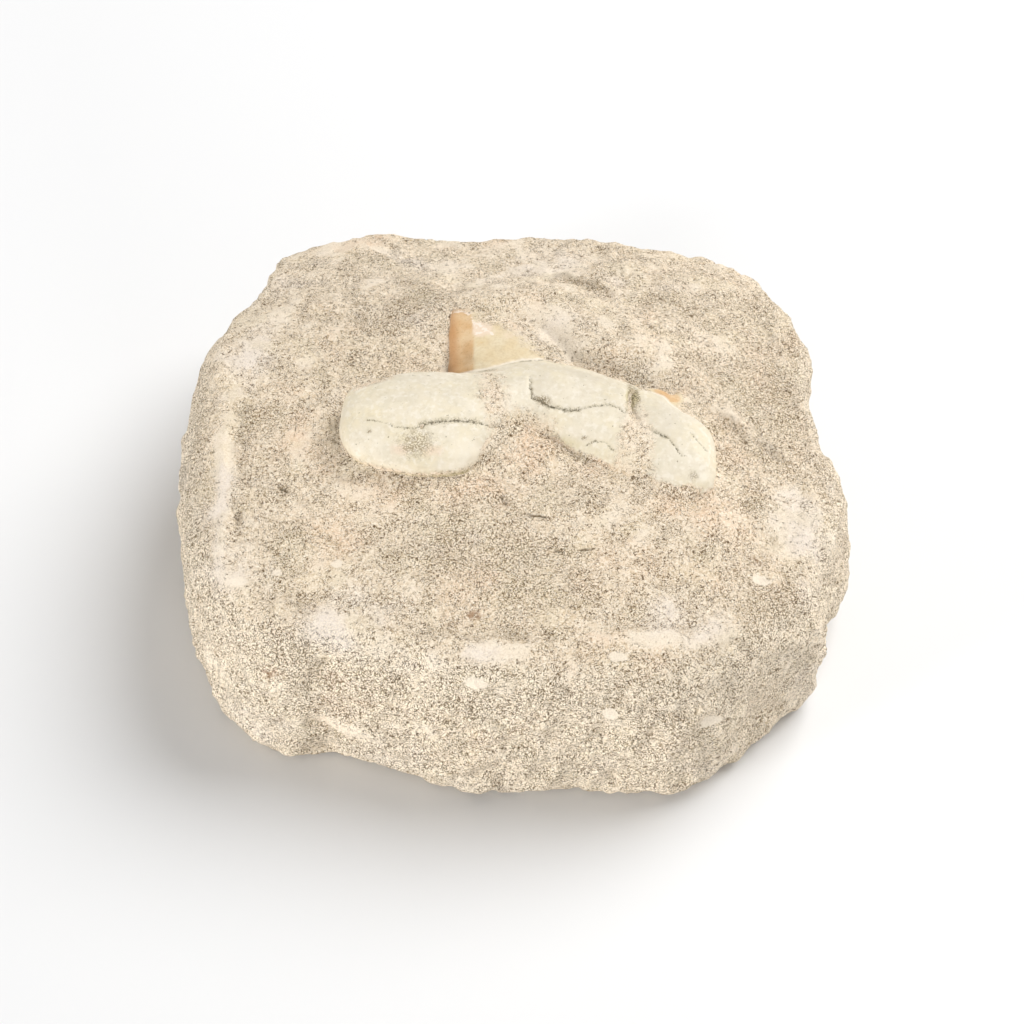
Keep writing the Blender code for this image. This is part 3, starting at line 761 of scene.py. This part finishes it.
# Lines and stains on the tooth.
RIM_PALE, SEAM_GREY = rgb(236, 226, 210), rgb(104, 92, 72)
CRACK_STAIN, CRACK_DARK = rgb(146, 136, 108), rgb(92, 84, 62)
GRIME_BROWN, SPECK_OLIVE = rgb(132, 114, 84), rgb(76, 70, 46)
FILM_OLIVE = rgb(196, 182, 138)


def sand(n, tone, warm):
    """The colour of sandy rock with its painted shade and glints, and the height of its grains.

    tone runs from -1 on rough dark ground to 1 on pale crust, and warm from -1, lilac grey, to 1,
    pinkish tan.
    """
    tone = n.plus(tone, n.swing(1.4, 2.6, 3, shift=5))
    warm = n.plus(warm, n.swing(0.9, 3.4, 3, shift=6))
    crust = n.ramp(tone, 0.30, 0.75)
    colour = n.mix(n.ramp(tone, -1.1, 0.2), SAND_ROUGH, SAND_PLAIN)
    # Painted light: the steep walls are lifted towards a paler ground.
    colour = n.mix(n.times(n.field("wall"), 0.35), colour, SAND_WALL_LIT)
    colour = n.mix(crust, colour, SAND_CRUST)
    colour = n.mix(n.ramp(warm, 0.0, 1.2, 0, 0.8), colour, SAND_TAN)
    colour = n.mix(n.ramp(warm, 0.0, -1.2, 0, 0.7), colour, SAND_LILAC)
    colour = n.mix(n.ramp(n.noise(4.5, 3, shift=8), 0.48, 0.66, 0, 0.35), colour, SAND_OCHRE)
    # Single grains, each of its own shade, which crust half hides.
    shade = n.grains(GRAIN)
    plain = n.ramp(crust, 0.0, 1.0, 1.0, 0.4)
    colour = n.mix(n.times(n.ramp(shade, 0.50, 0.95, 0, 0.7), plain), colour, GRAIN_PALE)
    colour = n.mix(n.times(n.ramp(shade, 0.40, 0.0, 0, 0.6), plain), colour, GRAIN_BROWN)
    # Dark hollows wind along the middle of this noise, and the clumps between them get painted glints,
    # stronger on the walls.
    swirl = n.size_of(n.minus(n.noise(SWIRL, 1, 0.5, shift=3), 0.5))
    glint = n.plus(n.times(n.field("wall"), 0.35), 0.42)
    colour = n.mix(n.times(n.ramp(swirl, 0.05, 0.12), glint), colour, GLINT)
    # The hollows are short, fewer where the ground is pale crust and more on the walls, and their dark
    # brown is painted shade.
    shown = n.minus(n.noise(0.45, 1, 0.6, shift=9), n.times(tone, 0.20))
    shown = n.plus(shown, n.times(n.field("wall"), 0.10))
    hollow = n.times(n.ramp(swirl, 0.050, 0.020), n.ramp(shown, 0.32, 0.66))
    colour = n.mix(n.times(hollow, 0.95), colour, HOLLOW_SHADE_BROWN)
    height = n.minus(n.ramp(shade, 0.0, 1.0, 0, 0.5), hollow)
    return colour, height


def stone_material():
    n = Nodes("sandy matrix")
    tone, warm = n.field("tone"), n.field("warm")
    colour, height = sand(n, tone, warm)
    rust = n.times(n.field("rust"), n.ramp(n.noise(0.7, 3, 0.6, shift=40), 0.35, 0.6))
    colour = n.mix(n.ramp(rust, 0.1, 0.9, 0, 0.75), colour, RUST_BROWN)
    # Shell flecks: smooth and almost white.
    fleck = n.plus(n.field("fleck"), n.swing(0.45, 0.7, 2, shift=50))
    fleck = n.ramp(fleck, -0.02, 0.30, 0, 0.85)
    colour = n.mix(fleck, colour, SHELL_WHITE)
    # Painted shade in the slits of the crust, and an olive line of painted contact shade where the rock
    # meets the tooth.
    slit = n.plus(n.field("slit"), n.swing(0.9, 0.5, 3, shift=60))
    colour = n.mix(n.ramp(slit, 1.3, 0.3, 0, 0.8), colour, SLIT_SHADE_BROWN)
    near = n.plus(n.field("near"), n.swing(0.35, 0.8, 3, shift=70))
    contact_shade = n.times(n.ramp(near, 0.15, -0.25), n.field("contact_shade"))
    colour = n.mix(n.times(contact_shade, 0.5), colour, CONTACT_SHADE_OLIVE)
    n.put(n.shader.inputs["Base Color"], colour)
    n.shader.inputs["Roughness"].default_value = SAND_ROUGHNESS
    n.shader.inputs["Specular IOR Level"].default_value = SAND_SPECULAR
    rough = n.times(n.noise(1.0, 2, 0.62), n.ramp(tone, 0.6, -0.4, 0.5, 1.0))
    coarse = n.bump(rough, COARSE_BUMP)
    grains = n.times(height, n.ramp(fleck, 0, 1, 1, 0.1))
    n.put(n.shader.inputs["Normal"], n.bump(grains, GRAIN_BUMP, coarse))
    return n.material


def root_colour(n):
    """Mottled cream, greyer, yellower and pinker in places, with a few pin-prick pores."""
    root = n.mix(n.ramp(n.noise(4.0, 3), 0.35, 0.7), ROOT_CREAM, ROOT_YELLOW)
    root = n.mix(n.ramp(n.noise(1.4, 3, 0.6, shift=7), 0.44, 0.68, 0, 0.55), root, ROOT_DULL)
    root = n.mix(n.ramp(n.noise(0.7, 3, 0.6, shift=9), 0.50, 0.68, 0, 0.4), root, ROOT_DARK)
    root = n.mix(n.ramp(n.noise(0.6, 2, 0.6, shift=11), 0.48, 0.68, 0, 0.6), root, ROOT_LIGHT)
    root = n.mix(n.ramp(n.field("grey"), 0.0, 1.0, 0, 0.8), root, ROOT_GREY)
    blush = n.plus(n.field("blush"), n.swing(0.3, 0.5, 2, shift=12))
    root = n.mix(n.ramp(blush, 0.1, 1.0, 0, 0.7), root, ROOT_PINK)
    root = n.mix(n.ramp(blush, -0.1, -1.0, 0, 0.75), root, ROOT_OLIVE)
    # Paler where worn, and painted light on the left lobe's lower band.
    root = n.mix(n.ramp(n.field("pale"), 0.2, 0.9, 0, 0.7), root, ROOT_PALE)
    pore = n.ramp(n.noise(0.36, 1, 0.5, shift=13), 0.27, 0.20, 0, 0.7)
    return n.mix(pore, root, PORE_GREY)


def yellow_colour(n):
    """The pale yellow front of the blade, pinkish or tan in places."""
    yellow = n.mix(n.ramp(n.noise(2.2, 3, shift=19), 0.3, 0.7), YELLOW_DARK, YELLOW_LIGHT)
    fine = n.ramp(n.noise(0.35, 3, 0.65, shift=21), 0.42, 0.66, 0, 0.5)
    yellow = n.mix(fine, yellow, YELLOW_FINE)
    blush = n.plus(n.field("blush"), n.swing(0.5, 0.4, 2, shift=22))
    yellow = n.mix(n.ramp(blush, 0.2, 1.0, 0, 0.7), yellow, YELLOW_PINK)
    return n.mix(n.ramp(blush, -0.2, -1.0, 0, 0.7), yellow, YELLOW_TAN)


def orange_colour(n):
    """The orange left face, deeper towards its outer edge."""
    orange = n.mix(n.ramp(n.noise(2.0, 3, shift=23), 0.35, 0.7), ORANGE_DARK, ORANGE_LIGHT)
    orange = n.mix(n.ramp(n.field("face"), 1.3, 2.4, 0, 0.7), orange, ORANGE_DEEP)
    speck = n.ramp(n.noise(0.22, 2, 0.6, shift=24), 0.56, 0.68, 0, 0.45)
    return n.mix(speck, orange, ORANGE_SPECK)


def enamel_colour(n):
    """Orange on the left face, pale yellow beyond the ridge, and white where it is chipped."""
    strip = n.plus(n.field("face"), n.swing(0.25, 1.2, 2, shift=17))
    enamel = n.mix(n.ramp(strip, -0.22, 0.22), yellow_colour(n), orange_colour(n))
    chip = n.ramp(n.plus(n.field("chip"), n.swing(1.2, 0.35, 3, shift=27)), 0.0, 0.35)
    return n.mix(n.times(chip, 0.85), enamel, CHIP_WHITE)


def with_lines(n, colour, rim):
    """Adds the pale line along the root's rim, the dark dashes in it, and the cracks."""
    colour = n.mix(n.ramp(n.size_of(rim), 0.30, 0.08, 0, 0.7), colour, RIM_PALE)
    line = n.ramp(n.size_of(n.plus(rim, 0.45)), 0.26, 0.06)
    line = n.times(line, n.ramp(n.noise(0.6, 2, shift=31), 0.44, 0.54))
    colour = n.mix(n.times(line, n.field("seam")), colour, SEAM_GREY)
    crack = n.plus(n.field("crack"), n.swing(1.6, 0.30, 2, shift=33))
    stain = n.times(n.ramp(crack, 2.6, 0.8), n.ramp(n.noise(0.16, 1, shift=34), 0.42, 0.60))
    colour = n.mix(n.times(stain, 0.6), colour, CRACK_STAIN)
    broken = n.ramp(n.noise(0.30, 1, shift=36), 0.34, 0.54, 0.25, 0.85)
    return n.mix(n.times(n.ramp(crack, 1.1, 0.1), broken), colour, CRACK_DARK)


def with_grime(n, colour):
    """Adds the brown of the speckled hollow and the notch, and dark specks where it is thickest."""
    brown = n.plus(n.field("brown"), n.swing(0.4, 0.5, 2, shift=43))
    grime = n.times(n.ramp(brown, 0.2, 1.0), n.ramp(n.noise(0.17, 1, shift=44), 0.38, 0.56))
    colour = n.mix(n.times(grime, 0.75), colour, GRIME_BROWN)
    speck = n.times(n.ramp(brown, 0.9, 1.8), n.ramp(n.noise(0.24, 1, shift=46), 0.52, 0.62))
    return n.mix(n.times(speck, 0.85), colour, SPECK_OLIVE)


def sand_cover(n):
    """How much of the tooth's skin is hidden by sand left on it."""
    uneven = n.plus(n.swing(0.5, 0.9, 3, shift=37), n.swing(0.3, 0.3, 1, shift=39))
    uneven = n.times(uneven, n.ramp(n.field("film"), 0.02, 0.3))
    return n.ramp(n.plus(n.field("film"), uneven), 0.12, 0.90)


def tooth_material():
    n = Nodes("fossil tooth")
    rim = n.plus(n.field("rim"), n.swing(0.16, 0.7, 2, shift=29))
    colour = n.mix(n.ramp(rim, -0.05, 0.05), root_colour(n), enamel_colour(n))
    colour = with_grime(n, with_lines(n, colour, rim))
    film, height = sand(n, n.field("tone"), n.field("warm"))
    covered = sand_cover(n)
    colour = n.mix(covered, colour, film)
    olive = n.times(n.ramp(n.field("blush"), -0.3, -1.1, 0, 0.65), covered)
    n.put(n.shader.inputs["Base Color"], n.mix(olive, colour, FILM_OLIVE))
    bare = n.ramp(rim, -0.1, 0.1, ROOT_ROUGHNESS, ENAMEL_ROUGHNESS)
    n.put(n.shader.inputs["Roughness"], n.mix(covered, bare, SAND_ROUGHNESS, "FLOAT"))
    n.shader.inputs["Specular IOR Level"].default_value = TOOTH_SPECULAR
    smooth = n.bump(n.noise(0.9, 4, 0.55), TOOTH_BUMP)
    n.put(n.shader.inputs["Normal"], n.bump(n.times(height, covered), GRAIN_BUMP, smooth))
    return n.material


# ---------------------------------------------------------------- pieces


def stretch(points, stretches):
    """Draws parts of the tooth's outline out sideways."""
    for move in stretches:
        share = smooth_step(*move.x_range, points[:, 0]) * smooth_step(*move.y_range, points[:, 1])
        points[:, move.axis] += move.far * share


def slope_left_face(points):
    """Cuts the blade's left edge to a face that falls from the ridge to the left."""
    ridge, back = signed_gap(points, BLADE_RIDGE), points[:, 1]
    drop = np.clip(ridge * np.interp(back, *FACE_SLOPES), 0, None)
    face_height = np.interp(back, *RIDGE_HEIGHTS) - drop
    over = np.clip(points[:, 2] - face_height, 0, None) * (ridge > 0)
    points[:, 2] -= over * smooth_step(*FACE_START, back)


def tooth_core():
    """The tooth's solid with its coarse cracks filled and its outline drawn out."""
    core = copy_of(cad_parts["shark_tooth"], "core")
    remeshed(core, CORE_VOXEL, CORE_SMOOTHING)
    grow(core, CLOSING)
    remeshed(core, CORE_VOXEL, CORE_SMOOTHING)
    grow(core, -CLOSING)
    points = points_of(core.data)
    stretch(points, ROOT_STRETCHES)
    slope_left_face(points)
    stretch(points, BLADE_STRETCHES)
    points[:, 1] += CUSP_STRETCH.strength * np.exp(-(spot_distance(points, CUSP_STRETCH) ** 2))
    set_points(core.data, points)
    remeshed(core, CORE_VOXEL, CORE_LAST_SMOOTHING)
    return core


def beyond_sand_edge(points):
    """How far each point is beyond the uneven line where the film of sand begins."""
    return signed_gap(wandered(points, *SAND_EDGE_WANDER), SAND_EDGE)


def film_on_tooth(points, rim, gaps):
    """How much sand is on the tooth: in patches, over the blade's right part and near the rock."""
    film = soft_spots(points, SAND_ON_TOOTH)
    film = np.maximum(film, smooth_step(*FILM_EDGE, beyond_sand_edge(points)) * (rim > 0))
    film = np.maximum(film, smooth_step(*FILM_BY_ROCK, gaps) * FILM_BY_ROCK_SHARE)
    return film * (1 - np.clip(soft_spots(points, CLEAN_ON_TOOTH), 0, 1))


def tooth_relief(points, rim, depth, showing):
    """How far the tooth's skin stands out: swells, roughness, cracks, the rim and the hollow."""
    relief = TOOTH_SWELL * fractal(points, 4.0, 3, 3)
    relief += TOOTH_ROUGHNESS * fractal(points, 1.1, 2, 4)
    relief -= depth * showing
    relief -= RIM_GROOVE * showing * np.exp(-((rim / RIM_GROOVE_HALF_WIDTH) ** 2))
    relief -= HOLLOW_DEPTH * np.exp(-(spot_distance(points, HOLLOW) ** 2))
    return relief


def build_tooth(core, bare_rock):
    tooth = copy_of(core, "tooth")
    remeshed(tooth, TOOTH_VOXEL, TOOTH_SMOOTHING)
    mesh = tooth.data
    points = points_of(mesh)
    normals = normals_of(mesh)
    face = np.maximum(signed_gap(points, BLADE_RIDGE), 2 * sharp_spots(points, ORANGE_ON_CUSP))
    rim = signed_gap(wandered(points, *RIM_WANDER), ROOT_RIM)
    nearness, depth = cracks_at(points, CRACKS, 11)
    showing = smooth_step(*UPWARD, normals[:, 2])
    points += normals * tooth_relief(points, rim, depth, showing)[:, None]
    set_points(mesh, points)
    gaps = distance_to(bare_rock, points)
    add_field(mesh, "film", film_on_tooth(points, rim, gaps))
    add_field(mesh, "face", np.clip(face, -FIELD_REACH, FIELD_REACH))
    add_field(mesh, "rim", np.clip(rim, -FIELD_REACH, FIELD_REACH))
    add_field(mesh, "crack", np.where(showing > 0, nearness, NO_CRACK))
    add_field(mesh, "chip", sharp_spots(points * (1, 1, 0), CHIPS))
    add_field(mesh, "seam", np.clip(soft_spots(points, SEAM_ON_TOOTH), 0, 1))
    for name, spots in STAINS_ON_TOOTH.items():
        add_field(mesh, name, soft_spots(points, spots))
    paler = FILM_PALENESS * smooth_step(*FILM_PALE_FROM, gaps)
    add_field(mesh, "tone", tone_at(points) + paler)
    add_field(mesh, "warm", warmth_at(points) + FILM_WARMTH)
    mesh.shade_smooth()
    mesh.materials.append(tooth_material())
    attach(tooth, "root")
    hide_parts("shark_tooth")


def filled_block(core):
    """The block joined to the tooth, which is grown to fill the gap round it."""
    block = copy_of(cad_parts["matrix_block"], "matrix")
    plug = copy_of(core, "plug")
    grow(plug, POCKET_FILL)
    add_mesh_of(block, plug)
    bpy.data.objects.remove(plug)
    remeshed(block, STONE_VOXEL, STONE_SMOOTHING)
    return block


def rock_relief(points, tone):
    """How far the rock's skin stands out: swells, crust, roughness, and chipped walls."""
    crust = smooth_step(0.0, 0.3, tone + 0.6 * fractal(points, 3.0, 3, 21))
    rough = fractal(points, 2.2, 4, 22)
    pitted = np.clip(fractal(points, 1.3, 2, 23) - 0.25, 0, None)
    wall = smooth_step(WALL_TOP + 3, WALL_TOP - 2, points[:, 2])
    lumps = fractal(points, 3.0, 3, 24, squash=(0.8, 0.8, 1.2))
    chipped = CHIP_LEVEL - np.abs(fractal(points, 5.5, 2, 25))
    relief = SWELLS * fractal(points, 9.0, 2, 20)
    relief += (ROUGHNESS - CRUST_CALM * crust) * rough + CRUST_RISE * crust
    relief -= PITS * pitted * (1 - 0.7 * crust)
    relief += (WALL_LUMPS * lumps + WALL_CHIPS * chipped) * wall
    return relief


def dissolve_underside(mesh):
    """Joins the flat underside's many small faces into a few large ones."""
    work = bmesh.new()
    work.from_mesh(mesh)
    flat = [face for face in work.faces if max(v.co.z for v in face.verts) < FLAT_BELOW * MM]
    edges = {edge for face in flat for edge in face.edges}
    verts = {vert for face in flat for vert in face.verts}
    bmesh.ops.dissolve_limit(work, angle_limit=FLAT_ANGLE, verts=list(verts), edges=list(edges))
    bmesh.ops.triangulate(work, faces=[face for face in work.faces if len(face.verts) > 4])
    work.to_mesh(mesh)
    work.free()


def cover_over(spots, outwards):
    """From 0 where the rock's edge is tucked under the tooth to 1 where it lies over it."""
    on_blade = smooth_step(0.0, 1.0, signed_gap(spots, ROOT_RIM))
    steep = smooth_step(*STEEP, outwards[:, 2])
    laps = np.clip(soft_spots(spots, SAND_LAPS), 0, 1) * steep
    return np.maximum(smooth_step(0.0, 1.0, beyond_sand_edge(spots)) * on_blade, laps)


def fit_to_tooth(points, tree, before):
    """Draws the rock's skin down to the tooth.

    before is how far each point was from the tooth before the rock's relief. It gives back how far
    it is after the relief, and which points then lie bare near the tooth.
    """
    heights, spots, outwards = heights_over(tree, points, SEARCH_REACH)
    bared = inside_box(points, BARE_CORNER) & (heights < EASE_REACH)
    close = (heights < COVER_REACH) | (before < COVER_REACH) | bared
    rest = -TUCK + (TUCK + THIN_COVER) * cover_over(spots, outwards)
    share = np.clip((heights - COVER_REACH) / (EASE_REACH - COVER_REACH), 0, 1)
    points -= outwards * ((COVER_REACH - rest) * (1 - share) ** 2)[:, None]
    points[close] = spots[close] + outwards[close] * rest[close, None]
    return heights, (~close & (heights < BARE_REACH)) | (close & (rest > 0))


def build_stone(core):
    """Builds the rock, and gives back the points of it that lie bare near the tooth."""
    stone = filled_block(core)
    mesh = stone.data
    points, normals = points_of(mesh), normals_of(mesh)
    on_top = smooth_step(WALL_TOP - 1, WALL_TOP + 1, points[:, 2])
    crest = ridges_at(points, RIDGES) * on_top
    nearness, depth = cracks_at(points, STONE_CRACKS, 31)
    tone = tone_at(points) + CREST_PALENESS * crest
    tree = tree_of(core)
    before = heights_over(tree, points, SEARCH_REACH)[0]
    relief = rock_relief(points, tone) * smooth_step(*CALM_FLOOR, points[:, 2])
    relief *= smooth_step(POCKET_FILL, CALM_REACH, before)
    relief += crest - depth * on_top + soft_spots(points, BULGES)
    points += normals * relief[:, None]
    heights, bare = fit_to_tooth(points, tree, before)
    set_points(mesh, points)
    add_field(mesh, "tone", tone)
    add_field(mesh, "warm", warmth_at(points))
    add_field(mesh, "rust", soft_spots(points, RUST))
    add_field(mesh, "fleck", sharp_spots(points, FLECKS))
    add_field(mesh, "slit", np.where(on_top > 0.5, nearness, NO_CRACK))
    add_field(mesh, "near", np.clip(heights - COVER_REACH, -1, FIELD_REACH))
    # Where the painted contact shade lies along the tooth.
    add_field(mesh, "contact_shade", soft_spots(points, CONTACT_LINE))
    # Where the ground is a wall: the sand there gets more painted light, glints and hollow shade.
    add_field(mesh, "wall", smooth_step(*WALL_LEAN, normals[:, 2]))
    dissolve_underside(mesh)
    mesh.shade_smooth()
    mesh.materials.append(stone_material())
    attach(stone, "root")
    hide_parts("matrix_block")
    return points[bare]


# ---------------------------------------------------------------- stage


FLOOR_HALF_WIDTH, FLOOR_GREY = 3.0, 0.80  # in metres, and as a share of white


def build_floor():
    mesh = bmesh.new()
    bmesh.ops.create_grid(mesh, x_segments=1, y_segments=1, size=FLOOR_HALF_WIDTH)
    data = bpy.data.meshes.new("floor")
    mesh.to_mesh(data)
    mesh.free()
    floor = bpy.data.objects.new("floor", data)
    bpy.context.scene.collection.objects.link(floor)
    made = bpy.data.materials.new("pale floor")
    made.use_nodes = True
    shader = made.node_tree.nodes["Principled BSDF"]
    shader.inputs["Base Color"].default_value = (FLOOR_GREY, FLOOR_GREY, FLOOR_GREY, 1)
    shader.inputs["Roughness"].default_value = 0.9
    data.materials.append(made)


def build_lights():
    for lamp in LAMPS:
        data = bpy.data.lights.new(lamp.name, "AREA")
        data.shape = "DISK"
        data.size = lamp.width
        data.energy = lamp.watts
        data.color = lamp.colour
        light = bpy.data.objects.new(lamp.name, data)
        light.location = lamp.place
        light.rotation_euler = (-Vector(lamp.place)).to_track_quat("-Z", "Y").to_euler()
        bpy.context.scene.collection.objects.link(light)
    world = bpy.data.worlds.new("soft studio")
    world.use_nodes = True
    background = world.node_tree.nodes["Background"]
    background.inputs["Color"].default_value = (1, 1, 1, 1)
    background.inputs["Strength"].default_value = WORLD_STRENGTH
    bpy.context.scene.world = world
    bpy.context.scene.view_settings.view_transform = "Standard"


def build_camera():
    data = bpy.data.cameras.new("camera")
    data.lens = CAMERA_LENS
    data.sensor_width = CAMERA_SENSOR
    data.clip_start, data.clip_end = 0.01, 10.0
    camera = bpy.data.objects.new("camera", data)
    tilt = math.radians(CAMERA_ELEVATION)
    back = Vector((0.0, -math.cos(tilt), math.sin(tilt)))
    camera.location = (Vector(CAMERA_TARGET) + back * CAMERA_DISTANCE) * MM
    camera.rotation_euler = back.to_track_quat("Z", "Y").to_euler()
    bpy.context.scene.collection.objects.link(camera)
    bpy.context.scene.camera = camera


def main():
    build_camera()
    build_lights()
    build_floor()
    core = tooth_core()
    build_tooth(core, build_stone(core))
    bpy.data.objects.remove(core)


main()
